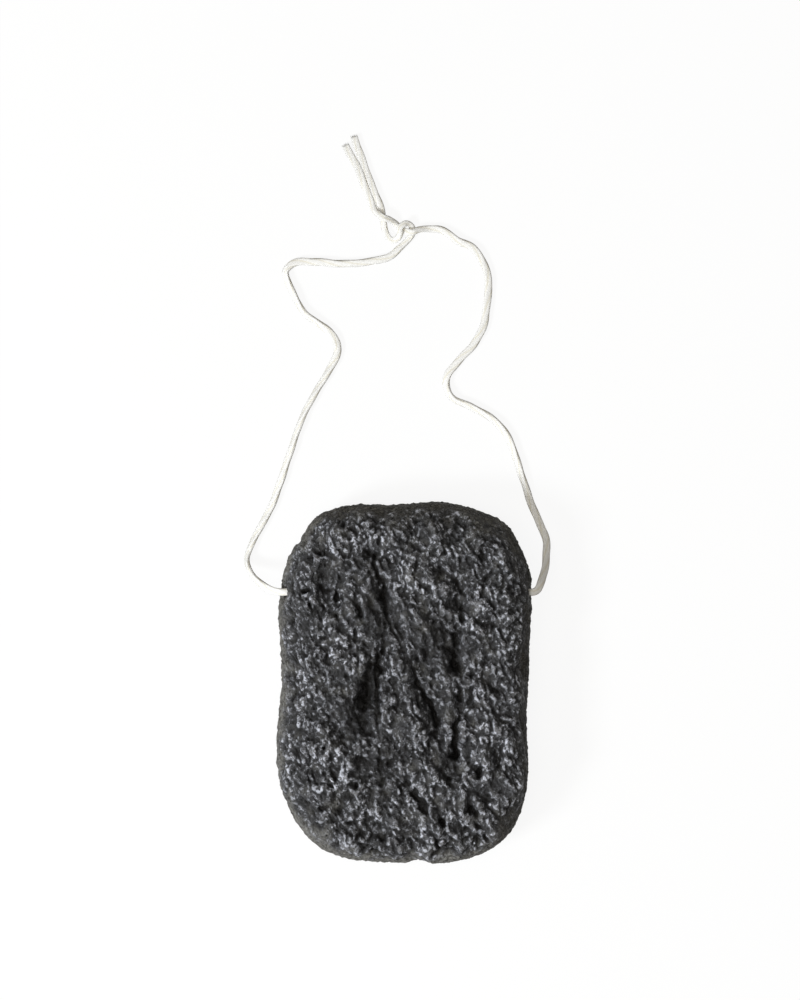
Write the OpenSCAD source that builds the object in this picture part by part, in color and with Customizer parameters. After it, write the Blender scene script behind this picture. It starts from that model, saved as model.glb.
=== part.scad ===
/* [Sponge] */
// Length of the sponge from end to end
sponge_l = 115; // [100:1:120]
// Width of the sponge from side to side
sponge_w = 81.5; // [72:0.5:86]
// Thickness of the sponge at its crown
sponge_t = 26; // [22:0.5:32]
// Reach of the rounding along the left side
left_round = 9; // [5:0.5:12]
// Reach of the rounding along the right side
right_round = 5; // [3:0.5:9]
// Reach of the rounding along the top end
top_round = 7; // [4:0.5:10]
// Reach of the rounding along the bottom end
bottom_round = 6; // [4:0.5:10]
// Reach of the rounding all round the underside
under_round = 7; // [4:0.5:10]
// Depth to which the underside is cut flat
flat_cut = 0.5; // [0.2:0.1:1]

/* [Face] */
// Rise of the face from its rim to its crown
crown_h = 1.5; // [0.5:0.1:3]
// Height of the tallest mound in the face
mound_h = 1.6; // [0:0.1:2.4]
// Reach of the broadest mound from its middle
mound_w = 7; // [5:0.5:10]
// Usual height of the swells that cross the face
swell_h = 0.8; // [0:0.1:1.2]
// Distance from one swell to the next
swell_l = 13; // [11:0.5:20]
// Depth of the deepest crease in the face
crease_depth = 2.6; // [0:0.1:3.5]
// Reach of the broadest crease from its line
crease_w = 4; // [2:0.1:6]

/* [Channel] */
// Distance of the channel from the middle of the length
channel_y = 29; // [24:0.5:34]
// Height of the channel's axis above the underside
channel_z = 14.5; // [14:0.5:17]
// Clearance round the string in the channel
channel_gap = 0.3; // [0.3:0.05:1]

/* [String] */
// Diameter of the string, as if it were round
string_d = 2; // [1.6:0.1:2.2]
// Depth inside the channel at which the two side strings begin
run_inset = 4.75; // [3:0.25:10]
// Clearance between the strands where they cross in the knot
knot_gap = 0.2; // [0.1:0.05:0.4]

/* [Hidden] */

// How far a cut runs past what it cuts
overrun = 2;

// Colours
charcoal = [0.20, 0.20, 0.21];
cotton = [0.90, 0.88, 0.82];

// The outline seen from above, anticlockwise from the right bulge,
// in shares of half the width and half the length
outline_shares = [
    [1.00, 0.48], [0.98, 0.61], [0.91, 0.74], [0.82, 0.86], [0.69, 0.92],
    [0.46, 0.98], [0.24, 1.00], [-0.10, 0.985], [-0.36, 0.985], [-0.56, 0.96],
    [-0.70, 0.91], [-0.81, 0.80], [-0.90, 0.70], [-0.96, 0.56], [-0.985, 0.40],
    [-0.97, 0.22], [-0.965, -0.01], [-1.00, -0.35], [-0.98, -0.53], [-0.92, -0.675],
    [-0.79, -0.825], [-0.665, -0.908], [-0.46, -0.972], [-0.24, -0.99], [-0.02, -0.997],
    [0.12, -0.985], [0.27, -1.00], [0.46, -0.98], [0.64, -0.935], [0.765, -0.873],
    [0.86, -0.79], [0.935, -0.65], [0.965, -0.48], [0.955, -0.20], [0.97, 0.06],
    [0.98, 0.28],
];
// How many steps the curve takes from one outline point to the next
outline_steps = 4;
// The outline points at the lower right, upper right, upper left and lower left corners
corner_points = [30, 3, 11, 20];
// How many cells the face has across it and along it
face_columns = 17;
face_rows = 25;

// The rows below the widest line: height as a share of the thickness below it,
// and how far the row draws in, as a share of the underside's rounding
under_row_shares = [[1.06, 1.30], [0.94, 0.80], [0.70, 0.36], [0.36, 0.08]];
// Height of the widest line, as a share of the thickness
widest_share = 0.37;
// The rows above the widest line: height as a share of what is left up to the face's rim,
// and how far the row draws in, as a share of that side's rounding
upper_row_shares = [[0.00, 0.00], [0.26, 0.05], [0.50, 0.20], [0.72, 0.45], [0.89, 0.78], [1.00, 1.25]];
// The main mounds of the face: where they are, in shares of half the width and half the length,
// height as a share of the tallest, and reach as a share of the broadest
mound_shares = [
    [[-0.50, 0.77], 0.6, 0.7],
    [[-0.31, 0.81], 0.7, 0.7],
    [[-0.12, 0.84], 0.5, 0.7],
    [[0.07, 0.59], 1.0, 1.2],
    [[0.33, 0.68], 0.6, 1.0],
    [[0.66, 0.58], 0.4, 1.1],
    [[-0.72, 0.50], 0.5, 0.8],
    [[-0.33, 0.48], 0.7, 0.8],
    [[-0.44, 0.20], 0.8, 1.0],
    [[0.09, 0.28], 0.5, 0.9],
    [[0.64, 0.33], 0.9, 1.0],
    [[0.63, 0.10], 0.6, 0.9],
    [[-0.72, 0.13], 0.4, 0.8],
    [[-0.50, -0.03], 0.6, 0.9],
    [[-0.03, -0.04], 1.0, 0.9],
    [[0.34, -0.08], 0.6, 0.6],
    [[0.68, -0.09], 0.5, 0.9],
    [[-0.74, -0.24], 0.5, 0.9],
    [[0.02, -0.25], 0.6, 0.8],
    [[0.62, -0.33], 1.0, 1.2],
    [[-0.54, -0.42], 0.8, 0.8],
    [[0.06, -0.47], 0.6, 0.8],
    [[-0.39, -0.61], 0.7, 0.8],
    [[0.22, -0.61], 0.9, 0.8],
    [[0.58, -0.63], 0.5, 0.9],
    [[-0.10, -0.74], 0.5, 0.9],
    [[0.22, -0.84], 0.7, 0.7],
    [[-0.42, -0.82], 0.4, 0.8],
    [[0.52, -0.83], 0.4, 0.7],
];
// The swells that cross the face: the direction in degrees in which each one's waves follow
// each other, and the distance between them as a share of the swells' own
swell_directions = [5, 40, 80, 150];
swell_length_shares = [0.80, 0.90, 1.10, 0.95];
// The main creases of the face: from, to, depth as a share of the deepest, and reach as a share
// of the broadest, with places in the same shares
crease_shares = [
    [[-0.28, 0.70], [-0.16, 0.47], 0.8, 0.8],
    [[-0.16, 0.47], [-0.15, 0.22], 0.6, 1.0],
    [[-0.18, 0.18], [-0.24, -0.05], 0.9, 0.8],
    [[-0.24, -0.05], [-0.36, -0.22], 1.0, 1.1],
    [[0.10, 0.02], [0.26, -0.21], 0.8, 0.7],
    [[0.26, -0.21], [0.36, -0.42], 0.6, 0.7],
    [[0.47, 0.66], [0.37, 0.42], 0.4, 0.8],
    [[0.34, 0.34], [0.39, 0.10], 0.8, 0.8],
    [[0.42, -0.08], [0.40, -0.24], 0.5, 0.7],
    [[0.40, -0.26], [0.37, -0.47], 0.9, 0.8],
    [[-0.03, -0.35], [-0.22, -0.52], 0.45, 0.8],
    [[-0.62, 0.68], [-0.60, 0.46], 0.5, 0.9],
];

// The channel and the string that fills it
channel_d = string_d + 2 * channel_gap;
run_l = sponge_w - 2 * run_inset;
string_sides = 8;
// The knot pulls the string to this share of its diameter
knot_share = 0.75;

// Heights of the string's line above where it lies flat
channel_lift = channel_z - string_d / 2;
under = 0;
over = string_d * knot_share + knot_gap;

// The string's left strand, from inside the channel, round to the knot and out as the long tail.
// Each point is a place on the surface and a height above where the string lies flat.
left_route = [
    [-run_l / 2, channel_y, channel_lift],
    [-39.5, channel_y, channel_lift],
    [-43.5, 30, 11.5],
    [-47, 32.5, 7.5],
    [-49.5, 35.5, 3.5],
    [-50.5, 39, 1],
    [-49.5, 43, 0],
    [-46.5, 49, 0],
    [-43, 55.5, 0],
    [-40.5, 62, 0],
    [-38, 69.5, 0],
    [-35.5, 77, 0],
    [-33, 84, 0],
    [-29.5, 91, 0],
    [-25, 98.5, 0],
    [-22, 104, 0],
    [-21.5, 108, 0],
    [-24, 112, 0],
    [-28.5, 115.5, 0],
    [-32, 118, 0],
    [-35, 123, 0],
    [-37.5, 128.5, 0],
    [-38, 132, 0],
    [-34.5, 134.5, 0],
    [-27, 134.5, 0],
    [-20, 134, 0],
    [-12.5, 134.5, 0],
    [-5.5, 136, 0],
];
left_knot = [
    [-1.6, 139, 0],
    [0.9, 141.4, under],
    [2.5, 143.8, under],
    [2.3, 146, 0.2],
    [0.4, 146.8, 1.3],
    [-1.3, 145.4, over],
    [-1.5, 143.2, 1.4],
    [-2.9, 141.7, 0.3],
    [-4.8, 142, under],
    [-6.2, 144.6, under],
    [-6.9, 148.8, under],
    [-7.7, 152.5, 0],
];
long_tail = [
    [-10, 157.8, 0],
    [-12, 163, 0],
    [-14, 168.5, 0],
    [-16.2, 174.8, 0],
];

// The string's right strand, from inside the channel, round to the knot and out as the short tail
right_route = [
    [run_l / 2, channel_y, channel_lift],
    [41.3, channel_y, channel_lift],
    [43.3, 31.8, 11.8],
    [44.7, 35.8, 8],
    [45.4, 40.5, 4],
    [45.3, 46, 1],
    [43, 51.5, 0],
    [40.5, 57.5, 0],
    [38.5, 63.5, 0],
    [36.5, 69.5, 0],
    [34.5, 75.5, 0],
    [31.5, 81, 0],
    [27, 85, 0],
    [21.5, 88, 0],
    [16, 90.5, 0],
    [13.5, 94, 0],
    [14, 98.5, 0],
    [18, 103.5, 0],
    [22.5, 108.5, 0],
    [25.5, 114.5, 0],
    [26.5, 121.5, 0],
    [27, 128, 0],
    [25.5, 134, 0],
    [22, 139, 0],
    [17, 141.5, 0],
    [12, 144.8, 0],
    [8, 145.2, 0],
];
right_knot = [
    [4.4, 144.8, 1.2],
    [2.5, 144, over],
    [0.3, 144.4, 0.8],
    [-1.3, 145.4, under],
    [-2.9, 147, 0.2],
    [-4.8, 148.1, 1.2],
    [-6.9, 148.8, over],
    [-9.1, 150.5, 1],
    [-10.5, 153.4, 0],
];
short_tail = [
    [-12.9, 159.5, 0],
    [-15.4, 165.5, 0],
    [-19, 172, 0],
];

left_strand = lying(concat(left_route, left_knot, long_tail));
right_strand = lying(concat(right_route, right_knot, short_tail));
left_side_end = len(left_route) - 1;
left_knot_end = left_side_end + len(left_knot);
right_side_end = len(right_route) - 1;
right_knot_end = right_side_end + len(right_knot);

// A route's points as they lie, with the height of the string's own line
function lying(route) = [for (p = route) [p.x, p.y, p.z + string_d / 2]];

function unit(v) = v / norm(v);

// Where the line heads at one of its points
function heading(line, i) =
    i == 0 ? unit(line[1] - line[0])
    : i == len(line) - 1 ? unit(line[i] - line[i - 1])
    : unit(unit(line[i + 1] - line[i]) + unit(line[i] - line[i - 1]));

// The ring of points round the line at one of its points
function ring(line, i, r) =
    let (
        ahead = heading(line, i),
        side = unit(cross([0, 0, 1], ahead)),
        up = cross(ahead, side)
    )
    [for (k = [0 : string_sides - 1])
        let (turn = 360 * (k + 0.5) / string_sides)
        line[i] + r * (cos(turn) * side + sin(turn) * up)];

// The triangles between rows of points that each run once round
function band_faces(rows, count) =
    [for (j = [0 : rows - 2], k = [0 : count - 1])
        let (
            a = j * count + k,
            b = j * count + (k + 1) % count,
            c = b + count,
            d = a + count
        )
        each [[a, d, c], [a, c, b]]];

// A smooth closed curve through the points
function closed_curve(p, steps) =
    let (n = len(p))
    [for (i = [0 : n - 1], s = [0 : steps - 1])
        let (
            t = s / steps,
            before = p[(i + n - 1) % n],
            here = p[i],
            next = p[(i + 1) % n],
            after = p[(i + 2) % n]
        )
        here + t / 2 * (next - before)
            + t * t / 2 * (2 * before - 5 * here + 4 * next - after)
            + t * t * t / 2 * (3 * here - before - 3 * next + after)];

// How far a side's rounding reaches at an outline point
function side_round(p) =
    let (across = pow(2 * p.x / sponge_w, 4), along = pow(2 * p.y / sponge_l, 4))
    (across * (p.x < 0 ? left_round : right_round)
        + along * (p.y < 0 ? bottom_round : top_round)) / (across + along);

// An outline point drawn in towards the middle
function drawn_in(p, reach) = p * (1 - reach / norm(p));

// Distance from a point to the stretch from a to b
function distance_to(p, a, b) =
    let (t = max(0, min(1, (p - a) * (b - a) / ((b - a) * (b - a)))))
    norm(p - a - t * (b - a));

function spread(share) = [share.x * sponge_w / 2, share.y * sponge_l / 2];

// How far a bump of unit height stands out at a distance given as a share of its reach
function bump(share) = exp(-share * share);

// How high the mounds are at a point of the face
function mound_at(p) =
    max([for (m = mound_shares)
        mound_h * m[1] * bump(norm(p - spread(m[0])) / (mound_w * m[2]))]);

function total(list) = list * [for (item = list) 1];

// How high the swells are at a point of the face, which is 0 on average
function swell_at(p) =
    let (waves = [for (k = [0 : len(swell_directions) - 1])
        let (turn = swell_directions[k], gap = swell_l * swell_length_shares[k])
        sin(360 * (p.x * cos(turn) + p.y * sin(turn)) / gap)])
    swell_h * total(waves) / sqrt(len(waves));

// How deep the creases are at a point of the face
function crease_at(p) =
    max([for (c = crease_shares)
        crease_depth * c[2] * bump(distance_to(p, spread(c[0]), spread(c[1])) / (crease_w * c[3]))]);

// Height of the face at a point, where rise is 0 at the rim and 1 at the crown
function face_z(p, rise) =
    sponge_t - mound_h - crown_h * (1 - rise) + mound_at(p) + swell_at(p) - crease_at(p);

// The distance along a line of points to each of them
function distances(p) =
    [for (i = 0, d = 0; i < len(p); i = i + 1, d = i < len(p) ? d + norm(p[i] - p[i - 1]) : d) d];

// Points with equal steps between them along a line of points, without its last point
function spaced(p, count) =
    let (
        d = distances(p),
        xs = [for (i = [0 : len(p) - 1]) [d[i], p[i].x]],
        ys = [for (i = [0 : len(p) - 1]) [d[i], p[i].y]]
    )
    [for (k = [0 : count - 1])
        let (at = k / count * d[len(p) - 1])
        [lookup(at, xs), lookup(at, ys)]];

outline_curve = [for (share = closed_curve(outline_shares, outline_steps)) spread(share)];

// The outline from one corner to the next
function outline_side(k) =
    let (
        first = corner_points[k] * outline_steps,
        next = corner_points[(k + 1) % len(corner_points)] * outline_steps,
        last = next > first ? next : next + len(outline_curve)
    )
    [for (i = [first : last]) outline_curve[i % len(outline_curve)]];

outline = [for (k = [0 : len(corner_points) - 1])
    each spaced(outline_side(k), k % 2 == 0 ? face_rows : face_columns)];
around = len(outline);
widest_z = widest_share * sponge_t;
rim_draw = upper_row_shares[len(upper_row_shares) - 1][1];
rim = [for (p = outline) drawn_in(p, rim_draw * side_round(p))];

// One row of the sponge's points for each share, from the underside up to the face's rim
function under_row(row) =
    [for (p = outline)
        let (q = drawn_in(p, row[1] * under_round))
        [q.x, q.y, widest_z * (1 - row[0]) - (row[0] > 1 ? flat_cut : 0)]];
function upper_row(row) =
    [for (k = [0 : around - 1])
        let (
            q = drawn_in(outline[k], row[1] * side_round(outline[k])),
            top = face_z(rim[k], 0)
        )
        [q.x, q.y, widest_z + row[0] * (top - widest_z)]];

// The rim point that lies at a cell corner on the face's edge: column i, row j
function rim_place(i, j) =
    i == face_columns ? j
    : j == face_rows ? face_rows + face_columns - i
    : i == 0 ? 2 * face_rows + face_columns - j
    : 2 * face_rows + face_columns + i;

// The cell corner at column i and row j of the face, which its four edges carry between them
function face_point(i, j) =
    let (
        u = i / face_columns,
        v = j / face_rows,
        ends = (1 - v) * rim[rim_place(i, 0)] + v * rim[rim_place(i, face_rows)],
        sides = (1 - u) * rim[rim_place(0, j)] + u * rim[rim_place(face_columns, j)],
        lower = (1 - u) * rim[rim_place(0, 0)] + u * rim[rim_place(face_columns, 0)],
        upper = (1 - u) * rim[rim_place(0, face_rows)] + u * rim[rim_place(face_columns, face_rows)],
        p = ends + sides - (1 - v) * lower - v * upper
    )
    [p.x, p.y, face_z(p, 16 * u * (1 - u) * v * (1 - v))];

module sponge_form() {
    rows = concat(
        [for (row = under_row_shares) under_row(row)],
        [for (row = upper_row_shares) upper_row(row)]
    );
    rim_first = (len(rows) - 1) * around;
    inner_first = len(rows) * around;
    below = inner_first + (face_columns - 1) * (face_rows - 1);
    // The number of the point at a cell corner of the face
    function corner(i, j) =
        i > 0 && i < face_columns && j > 0 && j < face_rows
            ? inner_first + (j - 1) * (face_columns - 1) + i - 1
            : rim_first + rim_place(i, j);
    polyhedron(
        points = concat(
            [for (row = rows) each row],
            [for (j = [1 : face_rows - 1], i = [1 : face_columns - 1]) face_point(i, j)],
            [[0, 0, rows[0][0].z]]
        ),
        faces = concat(
            band_faces(len(rows), around),
            [for (k = [0 : around - 1]) [k, (k + 1) % around, below]],
            [for (j = [0 : face_rows - 1], i = [0 : face_columns - 1])
                each [
                    [corner(i, j), corner(i + 1, j + 1), corner(i + 1, j)],
                    [corner(i, j), corner(i, j + 1), corner(i + 1, j + 1)],
                ]]
        ),
        convexity = 10
    );
}

// A round bar along the channel's axis
module channel_bar(d, l) {
    translate([0, channel_y, channel_z])
        rotate([0, 90, 0])
            cylinder(d = d, h = l, center = true, $fn = 48);
}

// The string's tube from one point of its line to another
module string_tube(line, first, last, share = 1) {
    rows = last - first + 1;
    end_cap = (rows - 1) * string_sides;
    polyhedron(
        points = [for (i = [first : last])
            each ring(line, i, string_d / 2 * (i == first || i == last ? 1 : share))],
        faces = concat(
            band_faces(rows, string_sides),
            [[for (k = [0 : string_sides - 1]) k]],
            [[for (k = [string_sides - 1 : -1 : 0]) end_cap + k]]
        ),
        convexity = 8
    );
}

module sponge() {
    color(charcoal)
        difference() {
            sponge_form();
            channel_bar(channel_d, sponge_w + 2 * overrun);
            translate([-sponge_w, -sponge_l, -sponge_t])
                cube([2 * sponge_w, 2 * sponge_l, sponge_t]);
        }
}

module string_threaded_run() {
    color(cotton)
        channel_bar(string_d, run_l);
}

module string_left_side() {
    color(cotton)
        string_tube(left_strand, 0, left_side_end);
}

module string_right_side() {
    color(cotton)
        string_tube(right_strand, 0, right_side_end);
}

module string_knot() {
    color(cotton) {
        string_tube(left_strand, left_side_end, left_knot_end, knot_share);
        string_tube(right_strand, right_side_end, right_knot_end, knot_share);
    }
}

module string_long_tail() {
    color(cotton)
        string_tube(left_strand, left_knot_end, len(left_strand) - 1);
}

module string_short_tail() {
    color(cotton)
        string_tube(right_strand, right_knot_end, len(right_strand) - 1);
}

sponge();
string_threaded_run();
string_left_side();
string_right_side();
string_knot();
string_long_tail();
string_short_tail();
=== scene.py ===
"""A konjac sponge on a cotton string: the looks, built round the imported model.

Everything is in metres, in the model's own frame: X to the right, Y along the sponge, Z up.
The sponge replaces its plain solid with a crumpled mesh, and the string's two free strands
replace theirs with a flat woven tape on the same route.
"""
import math

import bpy
import numpy as np
from bpy.props import FloatProperty, FloatVectorProperty, IntProperty, PointerProperty
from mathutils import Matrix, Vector, noise


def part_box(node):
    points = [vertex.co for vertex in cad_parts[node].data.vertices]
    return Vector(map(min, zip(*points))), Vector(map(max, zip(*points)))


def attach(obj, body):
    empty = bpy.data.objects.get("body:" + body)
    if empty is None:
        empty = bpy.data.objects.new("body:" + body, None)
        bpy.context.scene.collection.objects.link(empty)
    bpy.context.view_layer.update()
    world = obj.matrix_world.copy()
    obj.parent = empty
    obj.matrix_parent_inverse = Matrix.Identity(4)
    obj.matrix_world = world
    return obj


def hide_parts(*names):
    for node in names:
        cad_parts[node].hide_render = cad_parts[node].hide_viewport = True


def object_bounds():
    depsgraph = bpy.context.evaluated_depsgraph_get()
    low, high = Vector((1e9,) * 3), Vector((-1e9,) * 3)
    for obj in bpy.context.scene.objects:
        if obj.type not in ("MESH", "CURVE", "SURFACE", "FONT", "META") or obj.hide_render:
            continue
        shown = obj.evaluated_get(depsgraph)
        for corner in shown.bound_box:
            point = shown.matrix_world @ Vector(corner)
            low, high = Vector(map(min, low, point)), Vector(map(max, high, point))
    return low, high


bl_info = {
    "name": "Konjac sponge on a string",
    "version": (1, 0, 0),
    "blender": (4, 5, 0),
    "location": "View3D > Sidebar > Konjac sponge",
    "description": "Builds a crumpled konjac sponge with its cotton string and a plain studio",
    "category": "Object",
}

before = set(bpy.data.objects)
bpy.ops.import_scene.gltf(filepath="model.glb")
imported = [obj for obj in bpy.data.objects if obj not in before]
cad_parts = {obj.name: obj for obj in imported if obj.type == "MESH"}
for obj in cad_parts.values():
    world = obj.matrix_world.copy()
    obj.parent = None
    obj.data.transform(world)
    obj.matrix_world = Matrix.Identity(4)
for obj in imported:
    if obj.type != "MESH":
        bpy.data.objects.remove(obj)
CAD_LOW, CAD_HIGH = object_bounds()
SPONGE_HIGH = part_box("sponge")[1]

MM = 0.001
TINY = 1e-12
UP = Vector((0, 0, 1))
# Half the sponge's width and length
HALF = np.array([SPONGE_HIGH.x, SPONGE_HIGH.y])

# The outline seen from above, anticlockwise from the right bulge,
# in shares of half the width and half the length
OUTLINE_SHARES = [
    (1.00, 0.48), (0.98, 0.61), (0.91, 0.74), (0.82, 0.86), (0.69, 0.92),
    (0.46, 0.98), (0.24, 1.00), (-0.10, 0.985), (-0.36, 0.985), (-0.56, 0.96),
    (-0.70, 0.91), (-0.81, 0.80), (-0.90, 0.70), (-0.96, 0.56), (-0.985, 0.40),
    (-0.97, 0.22), (-0.965, -0.01), (-1.00, -0.35), (-0.98, -0.53), (-0.92, -0.675),
    (-0.79, -0.825), (-0.665, -0.908), (-0.46, -0.972), (-0.24, -0.99), (-0.02, -0.997),
    (0.12, -0.985), (0.27, -1.00), (0.46, -0.98), (0.64, -0.935), (0.765, -0.873),
    (0.86, -0.79), (0.935, -0.65), (0.965, -0.48), (0.955, -0.20), (0.97, 0.06),
    (0.98, 0.28),
]
# The outline points at the lower right, upper right, upper left and lower left corners
CORNER_POINTS = (30, 3, 11, 20)

# The side's curve above the widest line, then below it: height as a share of the way,
# and how far it draws in as a share of the rounding
UPPER_SIDE_SHARES = [(0.00, 0.00), (0.26, 0.05), (0.50, 0.20), (0.72, 0.45), (0.89, 0.78), (1.00, 1.25)]
LOWER_SIDE_SHARES = [(0.00, 0.00), (0.36, 0.08), (0.70, 0.36), (0.93, 0.80), (1.00, 1.20)]
WIDEST_SHARE = 0.37
# How suddenly the rounding changes from a side's to an end's
ROUND_POWER = 4

# The main mounds of the face: where they are, in shares of half the width and half the length,
# height as a share of the tallest, and reach as a share of the broadest
MOUNDS = [
    ((-0.50, 0.77), 0.6, 0.7),
    ((-0.31, 0.81), 0.7, 0.7),
    ((-0.12, 0.84), 0.5, 0.7),
    ((0.07, 0.59), 1.0, 1.2),
    ((0.33, 0.68), 0.6, 1.0),
    ((0.66, 0.58), 0.4, 1.1),
    ((-0.72, 0.50), 0.5, 0.8),
    ((-0.33, 0.48), 0.7, 0.8),
    ((-0.44, 0.20), 0.8, 1.0),
    ((0.09, 0.28), 0.5, 0.9),
    ((0.64, 0.33), 0.9, 1.0),
    ((0.63, 0.10), 0.6, 0.9),
    ((-0.72, 0.13), 0.4, 0.8),
    ((-0.50, -0.03), 0.6, 0.9),
    ((-0.03, -0.04), 1.0, 0.9),
    ((0.34, -0.08), 0.6, 0.6),
    ((0.68, -0.09), 0.5, 0.9),
    ((-0.74, -0.24), 0.5, 0.9),
    ((0.02, -0.25), 0.6, 0.8),
    ((0.62, -0.33), 1.0, 1.2),
    ((-0.54, -0.42), 0.8, 0.8),
    ((0.06, -0.47), 0.6, 0.8),
    ((-0.39, -0.61), 0.7, 0.8),
    ((0.22, -0.61), 0.9, 0.8),
    ((0.58, -0.63), 0.5, 0.9),
    ((-0.10, -0.74), 0.5, 0.9),
    ((0.22, -0.84), 0.7, 0.7),
    ((-0.42, -0.82), 0.4, 0.8),
    ((0.52, -0.83), 0.4, 0.7),
]
# The swells that cross the face: the direction in degrees in which each one's waves follow
# each other, and the distance between them as a share of the swells' own
SWELLS = [(5, 0.80), (40, 0.90), (80, 1.10), (150, 0.95)]
# The main creases of the face: from, to, depth as a share of the deepest, and reach as a share
# of the broadest, with places in the same shares
CREASES = [
    ((-0.28, 0.70), (-0.16, 0.47), 0.8, 0.8),
    ((-0.16, 0.47), (-0.15, 0.22), 0.6, 1.0),
    ((-0.18, 0.18), (-0.24, -0.05), 0.9, 0.8),
    ((-0.24, -0.05), (-0.36, -0.22), 1.0, 1.1),
    ((0.10, 0.02), (0.26, -0.21), 0.8, 0.7),
    ((0.26, -0.21), (0.36, -0.42), 0.6, 0.7),
    ((0.47, 0.66), (0.37, 0.42), 0.4, 0.8),
    ((0.34, 0.34), (0.39, 0.10), 0.8, 0.8),
    ((0.42, -0.08), (0.40, -0.24), 0.5, 0.7),
    ((0.40, -0.26), (0.37, -0.47), 0.9, 0.8),
    ((-0.03, -0.35), (-0.22, -0.52), 0.45, 0.8),
    ((-0.62, 0.68), (-0.60, 0.46), 0.5, 0.9),
]
# Narrow creases and pits of the face and dents of the side: from, to, depth and reach
# in millimetres, with places in the same shares. A round one has a single place.
GROOVES = [
    ((-0.25, 0.69), (-0.16, 0.52), 1.3, 0.9),
    ((-0.16, 0.52), (-0.13, 0.33), 1.2, 0.9),
    ((-0.63, 0.74), (-0.64, 0.52), 0.6, 1.2),
    ((-0.15, 0.20), (-0.15, 0.19), 1.5, 1.0),
    ((-0.21, 0.16), (-0.21, -0.17), 1.5, 1.0),
    ((-0.27, 0.08), (-0.31, -0.12), 1.6, 1.8),
    ((0.10, 0.01), (0.24, -0.17), 1.5, 0.9),
    ((0.24, -0.17), (0.25, -0.23), 1.4, 0.9),
    ((0.38, 0.27), (0.39, 0.08), 1.3, 1.1),
    ((0.40, -0.19), (0.39, -0.40), 2.0, 0.9),
    ((0.51, -0.03), (0.51, -0.10), 1.6, 1.2),
    ((-0.22, -0.41), (-0.12, -0.51), 1.2, 1.3),
    ((-0.08, -0.40), (-0.19, -0.54), 0.9, 1.0),
    ((0.08, -0.60), (0.15, -0.69), 2.0, 1.3),
    ((-0.65, -0.68), (-0.63, -0.68), 1.6, 1.3),
    ((-0.52, -0.69), (-0.49, -0.69), 1.5, 1.2),
    ((-0.40, -0.55), (-0.38, -0.56), 1.6, 1.3),
    ((-0.22, -0.85), (-0.17, -0.84), 1.1, 1.2),
    ((-0.55, -0.48), (-0.54, -0.51), 1.4, 1.1),
    ((0.30, -0.75), (0.31, -0.77), 2.0, 1.3),
    ((0.56, -0.77), (0.58, -0.78), 1.7, 1.2),
    ((0.34, -0.53), (0.35, -0.53), 1.7, 1.2),
    ((0.58, -0.47), (0.58, -0.50), 1.8, 1.3),
    ((0.01, -0.53), (0.01, -0.55), 1.8, 1.3),
    ((0.52, -0.69), (0.53, -0.70), 1.7, 1.3),
    ((0.25, -0.88), (0.25, -0.90), 1.4, 1.1),
    ((0.62, -0.82), (0.63, -0.84), 1.5, 0.9),
    # Pores
    ((-0.48, 0.88), 1.8, 0.7),
    ((-0.68, 0.72), 1.6, 0.7),
    ((-0.76, 0.52), 1.6, 0.7),
    ((-0.51, 0.37), 1.8, 0.7),
    ((-0.51, 0.49), (-0.52, 0.47), 1.8, 0.8),
    ((-0.74, 0.43), 1.5, 0.6),
    ((-0.62, -0.34), 1.6, 0.7),
    # Dents of the outline
    ((-0.96, 0.00), 0.45, 1.6),
    ((-0.92, -0.66), 0.4, 1.6),
    ((0.10, -0.99), 0.7, 1.5),
    ((-0.83, 0.79), 0.6, 1.8),
]

# Where the face is painted paler, as painted light, and where it is painted duller (below 0), as
# painted shade: the place in the same shares, how much, and the reach as a share of the broadest
TONES = [
    ((-0.04, 0.64), 0.9, 0.8), ((0.05, 0.55), 0.7, 0.7), ((-0.36, 0.82), 0.7, 0.8),
    ((-0.57, 0.74), 0.6, 0.7), ((0.60, 0.36), 0.8, 0.8), ((-0.54, 0.22), 0.8, 0.8),
    ((-0.11, 0.01), 0.7, 0.6), ((0.54, -0.32), 1.3, 1.1), ((-0.60, -0.40), 0.7, 0.8),
    ((-0.46, -0.58), 0.7, 0.8), ((0.17, -0.58), 0.9, 0.8), ((0.17, -0.82), 0.7, 0.7),
    ((-0.17, 0.42), -1.0, 1.1), ((-0.30, -0.02), -0.8, 0.9), ((-0.36, -0.20), -0.9, 1.0),
    ((0.38, 0.18), -0.8, 0.9), ((0.37, -0.43), -0.9, 0.9), ((-0.18, -0.47), -0.7, 0.7),
    ((0.14, 0.22), -0.6, 1.3), ((-0.62, 0.60), -0.6, 0.7), ((-0.66, -0.69), -0.5, 0.9),
    ((0.23, -0.18), -0.6, 0.7),
]

# Steps between two of a curve's points, along the outline and in the side's curve above and
# below its widest line
OUTLINE_STEPS = 40
UPPER_STEPS = 12
LOWER_STEPS = 8
# Rows of mesh cells up the side, above and below its widest line
UPPER_ROWS = 27
LOWER_ROWS = 8
# The underside has one cell for this many along its rim, and is this much smaller than the rim
UNDER_STEP = 3
UNDER_SHRINK = 0.985

# Places in the noise, far enough apart for each kind of relief to be unlike the others
HILLS, LUMPS, KNOBS, RIDGES, CRINKLES = 17, 23, 31, 37, 53
GRAIN_BENT, GRAIN_COARSE, GRAIN_FINE, GROOVES_BENT, RIM = 61, 67, 71, 83, 91
# Makes the bends the same each time
BEND_SEED = 1
# The bends of the lumps, the grooves and the grain: distance between them, and how far they push
LUMP_BENDS = (3.5 * MM, 0.9 * MM)
GROOVE_BENDS = (3 * MM, 1.5 * MM)
GRAIN_BENDS = (3 * MM, 1.2 * MM)
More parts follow.
